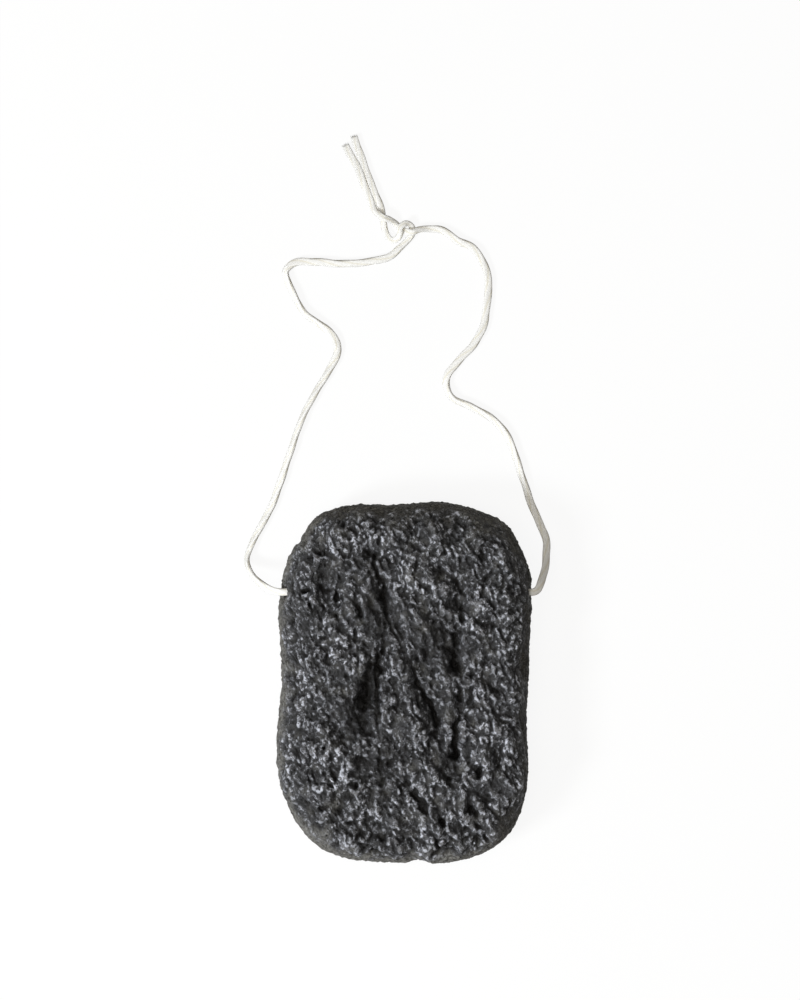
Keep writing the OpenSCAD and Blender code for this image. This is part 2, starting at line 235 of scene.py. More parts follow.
# A round lump: how far its dome reaches and how wide its clefts are, as shares of its size, its
# least height and what the tallest adds, and the shares of the dome and the clefts in its height
DOME_REACH = 0.85
CLEFT_WIDTH = 0.30
LUMP_LEAST, LUMP_MORE = 0.55, 0.45
DOME_SHARE, CLEFT_SHARE = 0.6, 0.4
# The usual levels of the lumps' and the ridges' patterns
LUMP_LEVEL, RIDGE_LEVEL = 0.5, 0.22
# How much the soft hills and the round lumps make of the lump height
HILL_SHARE, LUMP_SHARE = 1.3, 0.35
# How much more the ridges are drawn out along their lean than the lumps
RIDGE_DRAW = 1.35
# Where the face's top, right and left parts begin, and where they are reached in full, in shares
# of half the size, and how much lower the lumps are there
TOP_PART = (0.55, 0.90)
RIGHT_PART = (0.45, 0.90)
LEFT_PART = (0.60, 0.90)
LOWER_BY = 0.5
# The coarser grain's size, and the finer grain's height, as shares of the grain's own
COARSE_SIZE = 2.2
FINE_HEIGHT = 0.8

# How far the face's crumple wavers over the rim, as a share of the side, its waves' length, and
# how much later the side begins on the left
RIM_WAVER = 0.35
RIM_WAVES = 4 * MM
LEFT_LATER = 0.22
# From where to where down the side each thing begins or ends: 0 is the face's rim, 1 the widest
# line and 2 the underside
SIDE_BEGINS = (0.0, 0.60)
CRUMPLE_ENDS = (-0.05, 0.55)
LAST_CRUMPLE_ENDS = (0.2, 0.9)
FORMS_END = (0.0, 0.8)
GROOVES_END = (1.0, 1.6)
GRAIN_ENDS = (1.5, 1.95)
# How much of the main forms' height counts in their colour, that is in the painted light on their
# crests and the painted shade in their hollows
FORMS_SHARE = 0.6
# How widely a point's height is compared with its neighbours', and the difference from the darkest
# hollows to the palest crests, for crests and for knobs. The crest share puts painted shade in the
# hollows and painted light on the crests; the knob share puts the painted highlights on the knobs
CREST_ROUNDS, CREST_HEIGHT = 40, 2.4 * MM
KNOB_ROUNDS, KNOB_RISE = 8, 1.1 * MM
# The depth of a groove, a crease and a mouth at which its painted shade is darkest
DARK_GROOVE, DARK_CREASE, DARK_MOUTH = 2 * MM, 5 * MM, 3 * MM
# Where painted shade darkens the sides to the right and to the top, away from the key lamp, in shares
# of half the size, and how dark the top's painted shade is beside the right's
DARK_TO_RIGHT = (0.55, 0.95)
DARK_TO_TOP = (0.75, 0.95)
TOP_DARKNESS = 0.60
# Where the string enters: how deep and how widely the foam is drawn in, the hole's depth, and
# where its edge begins and ends. It counts past this share of the channel.
MOUTH_DRAW, MOUTH_REACH = 1.3 * MM, 3.4 * MM
HOLE_DEPTH = 3.2 * MM
HOLE_EDGE = (1.2 * MM, 2.0 * MM)
MOUTH_SHARE = 0.8
# How far past the channel's end each strand leaves the foam
MOUTH_GAP = 3.5 * MM

# The string's route in millimetres: a place on the surface and a height above where it lies flat,
# then the tape's roll in degrees, which leans its face to the left of the way it runs
CHANNEL_LIFT = 13.5
OVER = 1.7
LEFT_STRAND = [
    (-36, 29, CHANNEL_LIFT, 0), (-39.5, 29, CHANNEL_LIFT, 0), (-43.5, 30, 11.5, 15),
    (-47, 32.5, 7.5, 45), (-49.5, 35.5, 3.5, 65), (-50.5, 39, 1, 65),
    (-49.5, 43, 0, 60), (-46.5, 49, 0, 45), (-43, 55.5, 0, 36), (-40.5, 62, 0, 36),
    (-38, 69.5, 0, 38), (-35.5, 77, 0, 52), (-33, 84, 0, 54), (-29.5, 91, 0, 50),
    (-25, 98.5, 0, 44), (-22, 104, 0, 5), (-21.5, 108, 0, -15), (-24, 112, 0, 10),
    (-28.5, 115.5, 0, 45), (-32, 118, 0, 50), (-35, 123, 0, 48), (-37.5, 128.5, 0, 42),
    (-38, 132, 0, 35), (-34.5, 134.5, 0, 5), (-27, 134.5, 0, -12), (-20, 134, 0, -28),
    (-12.5, 134.5, 0, -25), (-5.5, 136, 0, -6),
    (-1.6, 139, 0, 25), (0.9, 141.4, 0, 25), (2.5, 143.8, 0, 10), (2.3, 146, 0.2, 0),
    (0.4, 146.8, 1.3, 0), (-1.3, 145.4, OVER, 0), (-1.5, 143.2, 1.4, 0), (-2.9, 141.7, 0.3, 5),
    (-4.8, 142, 0, 10), (-6.2, 144.6, 0, 5), (-6.9, 148.8, 0, 0), (-7.7, 152.5, 0, 2),
    (-10, 157.8, 0, 4), (-12, 163, 0, 4), (-14, 168.5, 0, 4), (-16.2, 174.8, 0, 2),
]
RIGHT_STRAND = [
    (36, 29, CHANNEL_LIFT, 0), (41.3, 29, CHANNEL_LIFT, 0), (43.3, 31.8, 11.8, -6),
    (44.7, 35.8, 8, -6), (45.4, 40.5, 4, -4), (45.3, 46, 1, 0), (43, 51.5, 0, 0),
    (40.5, 57.5, 0, 8), (38.5, 63.5, 0, 46), (36.5, 69.5, 0, 42), (34.5, 75.5, 0, 30),
    (31.5, 81, 0, 34), (27, 85, 0, 34), (21.5, 88, 0, 36), (16, 90.5, 0, 56),
    (13.5, 94, 0, 30), (14, 98.5, 0, 14), (18, 103.5, 0, 8), (22.5, 108.5, 0, 2),
    (25.5, 114.5, 0, -3), (26.5, 121.5, 0, -6), (27, 128, 0, -5), (25.5, 134, 0, -1),
    (22, 139, 0, 12), (17, 141.5, 0, 18), (12, 144.8, 0, 18), (8, 145.2, 0, 12),
    (4.4, 144.8, 1.2, 5), (2.5, 144, OVER, 0), (0.3, 144.4, 0.8, -12), (-1.3, 145.4, 0, -15),
    (-2.9, 147, 0.2, -25), (-4.8, 148.1, 1.2, -20), (-6.9, 148.8, OVER, 0),
    (-9.1, 150.5, 1, 0), (-10.5, 153.4, 0, 2),
    (-12.9, 159.5, 0, 4), (-15.4, 165.5, 0, 4), (-19, 172, 0, 2),
]
# The stretch of each strand that is drawn tight in the knot: its first and last point
LEFT_TIGHT = (29, 38)
RIGHT_TIGHT = (27, 34)
# The string's mesh: steps to each stretch of the route, and points round the section and round
# the curve that the section is taken from
TAPE_STEPS = 20
TAPE_SIDES = 32
CURVE_POINTS = 240
# The section's shape along the string and at the tails: 1 is an oval, and less is squarer
STRING_EDGE = 0.60
TAIL_EDGE = 0.75
# How uneven the string's size is, how often it changes, and its place in the noise
UNEVEN = 0.06
UNEVEN_EVERY = 6 * MM
UNEVEN_PLACE = (3.7, 1.1)
# How much narrower and thinner the string is where it is drawn tight, and thinner at its tails
TIGHT_NARROWER = 0.16
TIGHT_THINNER = 0.10
TAIL_THINNER = 0.60
# How many of the route's points before and after the tight stretch the string narrows and
# widens, and how many points past it the tail begins to be loose and is loose in full
TIGHT_FADE = 2
TAIL_LOOSENS = (1, 3)
# How much slower the fibres' pattern changes along the string than across it
FIBRE_DRAW = 0.12
# The loose fibres at a cut end: how many, their sides, where along them they have a ring of
# points, and how deep in the string they begin
FIBRES = 36
FIBRE_SIDES = 4
FIBRE_RINGS = (0, 0.4, 0.75, 1.0)
FIBRE_ROOT = 0.3 * MM
# Their least and greatest length and radius in millimetres, and how much their tips taper
FIBRE_LENGTH = (0.2, 0.7)
FIBRE_RADIUS = (0.04, 0.07)
FIBRE_TAPER = 0.6
# How near the string's edge they begin, how they spread and stray, and how pale they are
FIBRE_EDGE = 0.9
FIBRE_SPREAD = (0.1, 0.5)
FIBRE_STRAY = 0.12 * MM
FIBRE_PALENESS = 0.8
FIBRE_SEED = 7

# A Mix node's sockets for its share and its two colours, and the one that gives the mixed colour
MIX_IN, MIX_OUT = (0, 6, 7), 2
# How much of the lumps' stretch the foam's patterns have, and how far apart their features are
PATTERN_STRETCH = 0.85
PORES, PORE_RADIUS = 2.6 * MM, 0.42 * MM
CLOUDS, SPECKS, GLINTS, MOTTLE, SHINE = 6 * MM, 1.1 * MM, 0.5 * MM, 0.9 * MM, 1.1 * MM
CURLS, CURL_GAPS = 1.8 * MM, 1.3 * MM
# A round pore, painted as a spot of shade: how much of its radius is as dark as its middle, and how
# dark that is
SPOT_CORE, PORE_DARKNESS = 0.6, 0.85
# The levels of a pattern between which a thing goes from none to all, or from the third number to the
# fourth: the face's colours with their painted light and shade, then its painted highlights, the sides'
# and the gloss
PAINTED_LIGHT_LEVELS = (0.0, 1.0, 0.35, 1.65)
HOLLOW_TO_FACE = (0.15, 0.50)
FACE_TO_CREST, CREST_CLOUDS = (0.45, 0.85), (0.35, 0.62, 0.2, 1.0)
HIGHLIGHT_SPECKS, HIGHLIGHT_GLINTS = (0.50, 0.60), (0.56, 0.68, 0.0, 0.4)
HIGHLIGHT_CRESTS, HIGHLIGHT_KNOBS = (0.35, 0.65), (0.35, 0.70, 0.30, 1.0)
HIGHLIGHT_CLOUDS = (0.35, 0.60, 0.35, 1.0)
MOTTLE_LEVELS = (0.35, 0.65)
CURL_EDGES, CURLS_BETWEEN_GAPS = (0.02, 0.08, 1.0, 0.0), (0.44, 0.56)
THREADS_IN_SHADE = (0.55, 1.0, 0.70, 0.25)
SHINE_LEVELS, MATTE_SIDES = (0.35, 0.65, 0.25, 0.45), (0.1, 0.8, 0.0, 0.6)
# What the mottle makes of the sides' colour where it is darkest and palest
MOTTLE_DARK = (0.35, 0.33, 0.31)
MOTTLE_PALE = (1.65, 1.67, 1.69)
# The foam's bumps: how far apart, and how high
COARSE_BUMPS, COARSE_RISE = 1.0 * MM, 0.65 * MM
FINE_BUMPS, FINE_RISE = 0.4 * MM, 0.18 * MM
FOAM_GLOSS = 0.06
# The cotton's strands of fibre: how far apart, how high, and the levels where painted shade among them
# shows; then the levels of the plies' pattern over which painted shade fills the grooves between them
STRANDS, STRANDS_RISE = 0.30 * MM, 0.07 * MM
STRANDS_SHOW = (0.58, 0.72, 0.0, 0.4)
PLY_GROOVES = (0.0, 0.35)
COTTON_ROUGHNESS, COTTON_GLOSS = 0.9, 0.15
# How much of the light goes through the cotton, and how far it spreads in there
COTTON_SCATTER, SCATTER_REACH = 0.6, 1.0 * MM

# The floor's half size, how far it lies under the object, its white, and how much of it glows
# where it is seen
FLOOR_HALF = 3.0
FLOOR_DROP = 0.05 * MM
FLOOR_WHITE = (0.98, 0.98, 0.98)
GLOW_SHARE = 0.9
# The lamps' distances and sizes, and the nearest thing that the camera shows
KEY_DISTANCE, KEY_SIZE = 1.3, 0.30
TOP_DISTANCE, TOP_SIZE = 1.6, 0.9
CLIP_START = 0.01


# The settings that a user can change

def size_of(name, description, metres):
    """A length that a user can change."""
    return FloatProperty(
        name=name, description=description, default=metres, unit="LENGTH", precision=5)


def colour_of(name, description, levels):
    """A colour that a user can change."""
    return FloatVectorProperty(name=name, description=description, default=levels, subtype="COLOR")


def angle_of(name, description, degrees):
    """An angle that a user can change."""
    return FloatProperty(
        name=name, description=description, default=math.radians(degrees), subtype="ANGLE")


class SpongeSettings(bpy.types.PropertyGroup):
    """Sizes and colours of the sponge."""

    thickness: size_of("Thickness", "Thickness of the sponge at its crown", 26 * MM)
    mound_height: size_of("Mound height", "Height of the tallest mound in the face", 1.6 * MM)
    mound_reach: size_of("Mound reach", "Reach of the broadest mound from its middle", 7 * MM)
    crease_depth: size_of("Crease depth", "Depth of the deepest main crease in the face", 2.6 * MM)
    crease_reach: size_of("Crease reach", "Reach of the broadest main crease from its line", 4 * MM)
    swell_height: size_of("Swell height", "Usual height of the swells that cross the face", 0.8 * MM)
    swell_length: size_of("Swell length", "Distance from one swell to the next", 13 * MM)
    lump_height: size_of("Lump height", "Height of the lumps that crumple the face", 1.5 * MM)
    lump_size: size_of("Lump size", "Distance across one lump of the face", 3.8 * MM)
    knob_height: size_of("Knob height", "Height of the small knobs on the lumps", 0.65 * MM)
    knob_size: size_of("Knob size", "Distance across one small knob", 1.8 * MM)
    ridge_height: size_of("Ridge height", "Height of the drawn-out ridges between the lumps", 1.7 * MM)
    ridge_size: size_of("Ridge size", "Distance across one drawn-out ridge", 1.9 * MM)
    crinkle_height: size_of("Crinkle height", "Height of the crinkles on the knobs", 0.38 * MM)
    crinkle_size: size_of("Crinkle size", "Distance across one crinkle", 0.85 * MM)
    grain_height: size_of(
        "Grain height", "Height of the finest relief, the only one that the sides have", 0.4 * MM)
    grain_size: size_of("Grain size", "Distance across one grain of the finest relief", 0.9 * MM)
    stretch: FloatProperty(
        name="Stretch", description="How much longer the lumps are along their lean than across it",
        default=1.45, min=1, max=2)
    lean: angle_of("Lean", "Angle by which the lumps lean to the left of the sponge's length", 24)
    left_round: size_of("Left rounding", "Reach of the rounding along the left side", 9 * MM)
    right_round: size_of("Right rounding", "Reach of the rounding along the right side", 5 * MM)
    top_round: size_of("Top rounding", "Reach of the rounding along the top end", 7 * MM)
    bottom_round: size_of("Bottom rounding", "Reach of the rounding along the bottom end", 6 * MM)
    under_round: size_of("Underside rounding", "Reach of the rounding round the underside", 7 * MM)
    crown: size_of("Crown", "Rise of the face from its rim to its middle", 1.5 * MM)
    face_colour: colour_of("Face colour", "Colour of the crumpled face", (0.037, 0.037, 0.0385))
    # Painted light: the tops of the ridges are painted paler
    crest_painted_light_colour: colour_of(
        "Crest colour", "Colour of the worn tops of the ridges", (0.18, 0.18, 0.19))
    # Painted highlights: the pale flecks on the ridges and knobs stand in for glints of the lamps
    painted_highlight_colour: colour_of(
        "Fleck colour", "Colour of the pale glossy flecks on the ridges", (0.56, 0.58, 0.65))
    # Painted shade: the colour down in the creases, grooves, hollows, pores and the string's holes
    recess_shade_colour: colour_of(
        "Hollow colour", "Colour down in the creases and pores", (0.009, 0.0085, 0.008))
    side_colour: colour_of("Side colour", "Colour of the matte sides", (0.136, 0.133, 0.124))
    # Painted shade: the side to the right, and less so the top, is painted darker, away from the key
    # lamp
    painted_shade_side_colour: colour_of(
        "Dark side colour", "Colour of the side to the right", (0.023, 0.021, 0.017))
    thread_colour: colour_of(
        "Thread colour", "Colour of the curled threads of foam on the sides", (0.25, 0.243, 0.225))
    columns: IntProperty(
        name="Columns", description="Mesh cells across the face", default=195, min=30)
    rows: IntProperty(
        name="Rows", description="Mesh cells along the face", default=279, min=30)


class StringSettings(bpy.types.PropertyGroup):
    """Sizes and colours of the string."""

    width: size_of("Width", "Width of the flat string", 2.5 * MM)
    thickness: size_of("Thickness", "Thickness of the flat string", 1.45 * MM)
    plies: IntProperty(
        name="Plies", description="How many soft plies are twisted together", default=3, min=1)
    ply_lay: size_of("Lay", "Distance in which a ply winds once round the string", 26 * MM)
    ply_height: size_of("Ply height", "How far a ply stands out over the grooves beside it", 0.09 * MM)
    colour: colour_of("Colour", "Colour of the cotton", (0.94, 0.935, 0.91))
    # Painted shade: the colour between the plies and among the fibres
    painted_groove_shade_colour: colour_of(
        "Groove colour", "Colour between the plies and among the fibres", (0.86, 0.835, 0.76))


class StudioSettings(bpy.types.PropertyGroup):
    """The camera, the lamps and the floor."""

    camera_height: size_of("Camera height", "Height of the camera above the floor", 1.2)
    view_height: size_of("View height", "Length on the floor that fills the picture's height", 0.3213)
    view_centre: FloatVectorProperty(
        name="View centre", description="Place on the floor in the picture's middle",
        default=(-0.00143, 0.05814), size=2, unit="LENGTH", precision=5)
    key_light: FloatProperty(
        name="Key light", description="Brightness of a white surface that faces the key lamp",
        default=0.85)
    key_from: angle_of("Key direction", "Angle from the right round to the key lamp", 210)
    key_rise: angle_of("Key elevation", "Angle of the key lamp above the floor", 40)
    top_lean: angle_of("Top lean", "How far the overhead lamp leans towards the key lamp", 10)
    top_light: FloatProperty(
        name="Top light", description="Brightness that the overhead lamp gives a white surface",
        default=0.44)
    sky_light: FloatProperty(
        name="Sky light", description="Brightness of the surroundings", default=0.10)
    key_colour: colour_of("Key colour", "Colour of the key lamp", (0.94, 0.97, 1.0))
    fill_colour: colour_of(
        "Fill colour", "Colour of the overhead lamp and the surroundings", (1.0, 0.96, 0.88))
    floor_colour: colour_of(
        "Floor colour", "Colour that the floor throws back on the object", (0.22, 0.20, 0.17))


# Lines and meshes

def smooth_line(points, steps, closed=False):
    """Points on a smooth curve through the given ones, with this many steps to each stretch."""
    p = np.array(points, float)
    if closed:
        before, here, ahead, after = (np.roll(p, 1, 0), p, np.roll(p, -1, 0), np.roll(p, -2, 0))
    else:
        first, last = 2 * p[:1] - p[1:2], 2 * p[-1:] - p[-2:-1]
        whole = np.concatenate([first, p, last])
        before, here, ahead, after = whole[:-3], whole[1:-2], whole[2:-1], whole[3:]
    out = []
    for i in range(len(here)):
        for s in range(steps):
            t = s / steps
            out.append(
                here[i]
                + t / 2 * (ahead[i] - before[i])
                + t * t / 2 * (2 * before[i] - 5 * here[i] + 4 * ahead[i] - after[i])
                + t ** 3 / 2 * (3 * here[i] - before[i] - 3 * ahead[i] + after[i])
            )
    if not closed:
        out.append(p[-1])
    return np.array(out)


def spaced_evenly(line, count):
    """This many equal steps along a line of points, both ends included."""
    gaps = np.linalg.norm(np.diff(line, axis=0), axis=1)
    along = np.concatenate([[0], np.cumsum(gaps)])
    places = np.linspace(0, along[-1], count + 1)
    return np.stack([np.interp(places, along, line[:, k]) for k in range(line.shape[1])], 1)


def scene_object(name, data):
    """A new object in the scene, from a mesh, a lamp or a camera."""
    thing = bpy.data.objects.new(name, data)
    bpy.context.scene.collection.objects.link(thing)
    return thing


def mesh_object(name, points, faces):
    """A new smooth object in the scene, from its points and faces."""
    mesh = bpy.data.meshes.new(name)
    mesh.from_pydata([tuple(p) for p in points], [], faces)
    mesh.update()
    mesh.shade_smooth()
    return scene_object(name, mesh)


def set_share(thing, name, values):
    """Keep one number for each of the mesh's points, for its material to read."""
    layer = thing.data.attributes.new(name, "FLOAT", "POINT")
    layer.data.foreach_set("value", np.asarray(values, np.float32))


def mesh_normals(thing):
    """The way out of the surface at each of the mesh's points."""
    normals = np.zeros(len(thing.data.vertices) * 3, np.float32)
    thing.data.vertex_normals.foreach_get("vector", normals)
    return normals.reshape(-1, 3).astype(float)


def move_points(thing, points):
    """Put the mesh's points in new places."""
    thing.data.vertices.foreach_set("co", np.asarray(points, np.float32).ravel())
    thing.data.update()


# The sponge's smooth form

def outline_loop(columns, rows):
    """Points evenly round the outline from the lower right corner, in shares."""
    curve = smooth_line(OUTLINE_SHARES, OUTLINE_STEPS, closed=True)
    loop = []
    for k, count in enumerate((rows, columns, rows, columns)):
        first = CORNER_POINTS[k] * OUTLINE_STEPS
        last = CORNER_POINTS[(k + 1) % 4] * OUTLINE_STEPS
        if last <= first:
            last += len(curve)
        part = curve[np.arange(first, last + 1) % len(curve)]
        loop.extend(spaced_evenly(part * HALF, count)[:-1] / HALF)
    return np.array(loop)


def side_round(share, s):
    """How far the upper rounding reaches at each outline point."""
    across, along = share[:, 0] ** ROUND_POWER, share[:, 1] ** ROUND_POWER
    side = np.where(share[:, 0] < 0, s.left_round, s.right_round)
    end = np.where(share[:, 1] < 0, s.bottom_round, s.top_round)
    return (across * side + along * end) / (across + along)


def drawn_in(points, reach):
    """The points moved this far towards the middle, seen from above."""
    return points * (1 - reach / np.linalg.norm(points, axis=1))[:, None]


def patch(loop, columns, rows):
    """A grid that fills a closed loop of points, bottom row first."""
    right = loop[:rows + 1]
    top = loop[rows:rows + columns + 1][::-1]
    left = loop[rows + columns:2 * rows + columns + 1][::-1]
    bottom = np.concatenate([loop[2 * rows + columns:], loop[:1]])
    u = np.linspace(0, 1, columns + 1)[None, :, None]
    v = np.linspace(0, 1, rows + 1)[:, None, None]
    return (
        (1 - v) * bottom[None] + v * top[None] + (1 - u) * left[:, None] + u * right[:, None]
        - (1 - u) * (1 - v) * bottom[0] - u * (1 - v) * bottom[-1]
        - (1 - u) * v * top[0] - u * v * top[-1]
    )


def edge_numbers(columns, rows):
    """A grid's point numbers round its edge, from the lower right corner anticlockwise."""
    wide = columns + 1
    right = [j * wide + columns for j in range(rows)]
    top = [rows * wide + i for i in range(columns, 0, -1)]
    left = [j * wide for j in range(rows, 0, -1)]
    bottom = list(range(columns))
    return right + top + left + bottom


def grid_faces(columns, rows, first, flipped=False):
    """A grid's faces, from the number of its first point."""
    wide = columns + 1
    faces = []
    for j in range(rows):
        for i in range(columns):
            a = first + j * wide + i
            quad = (a, a + 1, a + wide + 1, a + wide)
            faces.append(quad[::-1] if flipped else quad)
    return faces


def smooth_sponge(s):
    """The sponge without its texture: its points, its faces, and each point's way down the side."""
    share = outline_loop(s.columns, s.rows)
    outline = share * HALF
    reach = side_round(share, s)
    widest = WIDEST_SHARE * s.thickness
    rim_height = s.thickness - s.mound_height - s.crown
    upper = spaced_evenly(smooth_line(UPPER_SIDE_SHARES, UPPER_STEPS)[::-1], UPPER_ROWS)
    lower = spaced_evenly(smooth_line(LOWER_SIDE_SHARES, LOWER_STEPS), LOWER_ROWS)

    rim = drawn_in(outline, reach * UPPER_SIDE_SHARES[-1][1])
    face = patch(rim, s.columns, s.rows).reshape(-1, 2)
    u = np.linspace(0, 1, s.columns + 1)[None]
    v = np.linspace(0, 1, s.rows + 1)[:, None]
    # The crown: 0 along the rim and 1 in the middle
    rise = (16 * u * (1 - u) * v * (1 - v)).ravel()
    points = [np.column_stack([face, rim_height + s.crown * rise])]
    down = [np.zeros(len(face))]
    ring = edge_numbers(s.columns, s.rows)
    faces = grid_faces(s.columns, s.rows, 0)
    count = len(face)

    around = len(outline)
    for height, draw in upper[1:]:
        level = np.full(around, widest + height * (rim_height - widest))
        points.append(np.column_stack([drawn_in(outline, reach * draw), level]))
        down.append(np.full(around, 1 - height))
    for height, draw in lower[1:]:
        level = np.full(around, widest * (1 - height))
        points.append(np.column_stack([drawn_in(outline, s.under_round * draw), level]))
        down.append(np.full(around, 1 + height))
    for _ in range(UPPER_ROWS + LOWER_ROWS):
        for k in range(around):
            n = (k + 1) % around
            faces.append((ring[n], ring[k], count + k, count + n))
        ring = list(range(count, count + around))
        count += around

    columns, rows = s.columns // UNDER_STEP, s.rows // UNDER_STEP
    under = patch(points[-1][::UNDER_STEP, :2] * UNDER_SHRINK, columns, rows).reshape(-1, 2)
    points.append(np.column_stack([under, np.zeros(len(under))]))
    down.append(np.full(len(under), 2.0))
    inner = [count + n for n in edge_numbers(columns, rows)]
    for k in range(len(inner)):
        n = (k + 1) % len(inner)
        outer = [ring[(k * UNDER_STEP + i) % around] for i in range(UNDER_STEP + 1)]
        faces.append((*outer[::-1], inner[k], inner[n]))
    faces += grid_faces(columns, rows, count, flipped=True)
    return np.concatenate(points), faces, np.concatenate(down)


# The sponge's texture

def between(x, low, high):
    """0 below low, 1 above high, and a smooth way between them."""
    t = np.clip((x - low) / (high - low), 0, 1)
    return t * t * (3 - 2 * t)


def bump(gap, reach):
    """1 at a gap of 0, falling smoothly to near 0 at twice the reach."""
    return np.exp(-((gap / reach) ** 2))


def gap_to(points, start, end):
    """Distance seen from above from each point to the stretch between two places in shares."""
    a, b = np.array(start) * HALF, np.array(end) * HALF
    way = b - a
    t = np.clip((points[:, :2] - a) @ way / max(way @ way, TINY), 0, 1)
    return np.linalg.norm(points[:, :2] - a - t[:, None] * way, axis=1)


def marks_at(points, marks, unit):
    """How much each of a table's marks is felt at each point, with its reach in these units."""
    return [much * bump(gap_to(points, places[0], places[-1]), reach * unit)
            for *places, much, reach in marks]


def mounds_at(points, s):
    """How high the main mounds are at each point, in metres."""
    return s.mound_height * np.max(marks_at(points, MOUNDS, s.mound_reach), axis=0)


def swells_at(points, s):
    """How high the swells are at each point, in metres, which is 0 on average."""
    height = np.zeros(len(points))
    for turn, share in SWELLS:
        way = np.array([math.cos(math.radians(turn)), math.sin(math.radians(turn))])
        height += np.sin(2 * math.pi * (points[:, :2] @ way) / (share * s.swell_length))
    return s.swell_height * height / math.sqrt(len(SWELLS))


def tones_at(points, s):
    """How the face's broad painted light and shade go at each point: 0.5 as usual, 0 duller with
    painted shade, 1 paler with painted light.
    """
    tone = np.sum(marks_at(points, TONES, s.mound_reach), axis=0)
    return np.clip(0.5 + 0.5 * tone, 0, 1)


def creases_at(points, s):
    """How deep the main creases are at each point, in metres."""
    return s.crease_depth * np.max(marks_at(points, CREASES, s.crease_reach), axis=0)


def grooves_at(points):
    """How deep the narrow creases, pits and dents are at each point, in metres."""
    bent = pushed(points, *GROOVE_BENDS, GROOVES_BENT)
    return MM * np.max(marks_at(bent, GROOVES, MM), axis=0)


def noise_at(points, size, place=0.0):
    """Smooth noise of about -0.7 to 0.7, with features this many metres across."""
    return np.array([noise.noise(p) for p in (points / size + place).tolist()])


def pushed(points, size, reach, place=0.0):
    """The points moved smoothly to and fro, which bends the features of noise read there."""
    noise.seed_set(BEND_SEED)
    ways = [noise.noise_vector(p) for p in (points / size + place).tolist()]
    return points + reach * np.array(ways)


def lumps_at(points, size, place):
    """Round lumps with clefts between them, from 0 to 1, this many metres across."""
    found = [noise.voronoi(p) for p in (points / size + place).tolist()]
    nearest = np.array([gaps[0] for gaps, middles in found])
    next_one = np.array([gaps[1] for gaps, middles in found])
    tall = np.array([noise.cell(middles[0]) for gaps, middles in found])
    dome = np.sqrt(np.clip(1 - (nearest / DOME_REACH) ** 2, 0, 1))
    cleft = np.sqrt(np.clip((next_one - nearest) / CLEFT_WIDTH, 0, 1))
    return (LUMP_LEAST + LUMP_MORE * tall) * (DOME_SHARE * dome + CLEFT_SHARE * cleft)


def part_of_face(points, k, sign, part):
    """0 in the middle, 1 far out along this axis, with a smooth way between them."""
    return between(sign * points[:, k] / HALF[k], *part)


def crumple(points, s):
    """Height of the crumpled face over the smooth form, in metres, about 0 on average."""
    across = points[:, 0] * math.cos(s.lean) + points[:, 1] * math.sin(s.lean)
    along = points[:, 1] * math.cos(s.lean) - points[:, 0] * math.sin(s.lean)
    at = np.column_stack([across, along / s.stretch, points[:, 2]])
    bent = pushed(at, *LUMP_BENDS)
    hills = noise_at(bent, s.lump_size, HILLS)
    lumps = lumps_at(bent, s.lump_size, LUMPS) - LUMP_LEVEL
    knobs = lumps_at(bent, s.knob_size, KNOBS) - LUMP_LEVEL
    drawn = np.column_stack([bent[:, 0], bent[:, 1] / RIDGE_DRAW, bent[:, 2]])
    ridges = np.abs(noise_at(drawn, s.ridge_size, RIDGES)) - RIDGE_LEVEL
    crinkles = noise_at(bent, s.crinkle_size, CRINKLES)
    top = part_of_face(points, 1, 1, TOP_PART)
    right = part_of_face(points, 0, 1, RIGHT_PART)
    left = part_of_face(points, 0, -1, LEFT_PART)
    strong = 1 - LOWER_BY * np.max([top, right, left], axis=0)
    return (
        strong * s.lump_height * (HILL_SHARE * hills + LUMP_SHARE * lumps)
        + s.ridge_height * ridges + s.knob_height * knobs + s.crinkle_height * crinkles
    )


def side_grain(points, s):
    """Height of the finest relief, in metres. It covers the face too, but the sides have no other."""
    at = pushed(points, *GRAIN_BENDS, GRAIN_BENT)
    coarse = noise_at(at, COARSE_SIZE * s.grain_size, GRAIN_COARSE)
    fine = noise_at(at, s.grain_size, GRAIN_FINE)
    return s.grain_height * (coarse + FINE_HEIGHT * fine)


def near_average(thing, values, rounds):
    """The values evened out between neighbouring points of the mesh, this many times."""
    ends = np.zeros(2 * len(thing.data.edges), np.int32)
    thing.data.edges.foreach_get("vertices", ends)
    one, other = ends.reshape(-1, 2).T
    size = len(values)
    neighbours = np.bincount(ends, minlength=size)
    for _ in range(rounds):
        total = np.bincount(one, values[other], size) + np.bincount(other, values[one], size)
        values = (values + total / neighbours) / 2
    return values


def string_mouths(points):
    """How far the foam is drawn in where the string enters it, left and right."""
    low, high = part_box("string_threaded_run")
    middle = (low + high) / 2
    gap = np.hypot(points[:, 1] - middle.y, points[:, 2] - middle.z)
    at_side = np.abs(points[:, 0]) > high.x * MOUTH_SHARE
    soft = MOUTH_DRAW * bump(gap, MOUTH_REACH)
    hole = HOLE_DEPTH * (1 - between(gap, *HOLE_EDGE))
    return np.where(at_side, soft + hole, 0)


def shade_of_sides(points):
    """How much painted shade the side's foam has: 1 on the right, less at the top, 0 on the left and
    below, where the key lamp falls.
    """
    right = part_of_face(points, 0, 1, DARK_TO_RIGHT)
    top = part_of_face(points, 1, 1, DARK_TO_TOP)
    return np.maximum(right, TOP_DARKNESS * top)


